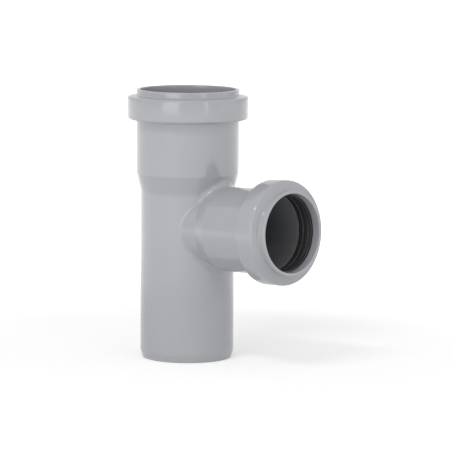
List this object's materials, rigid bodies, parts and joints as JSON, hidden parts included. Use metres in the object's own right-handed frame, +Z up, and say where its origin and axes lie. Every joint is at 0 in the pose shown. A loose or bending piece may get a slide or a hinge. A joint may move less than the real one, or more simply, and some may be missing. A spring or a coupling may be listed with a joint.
{
  "type": "drain pipe tee",
  "caption": "Push-fit drain tee: a straight run with a spigot below and a socket above, and a smaller socketed branch at its side, with a rubber seal ring held in the bead of each socket.",
  "frame": {"origin": "centre of the spigot's end face, which the tee stands on", "axes": "+Z up the run's axis, from the spigot to the socket mouth; +X towards the side on which the branch leaves; the XZ plane is the plane of symmetry"},
  "size_m": [0.1098, 0.0644, 0.144],
  "materials": {
    "grey_polypropylene": "injection-moulded grey polypropylene with a soft sheen",
    "seal_rubber": "black sealing rubber, smooth and slightly glossy from its lubricant"
  },
  "bodies": {
    "root": {"tee_body": "grey_polypropylene", "run_seal_ring": "seal_rubber", "branch_seal_ring": "seal_rubber"}
  },
  "joints": []
}
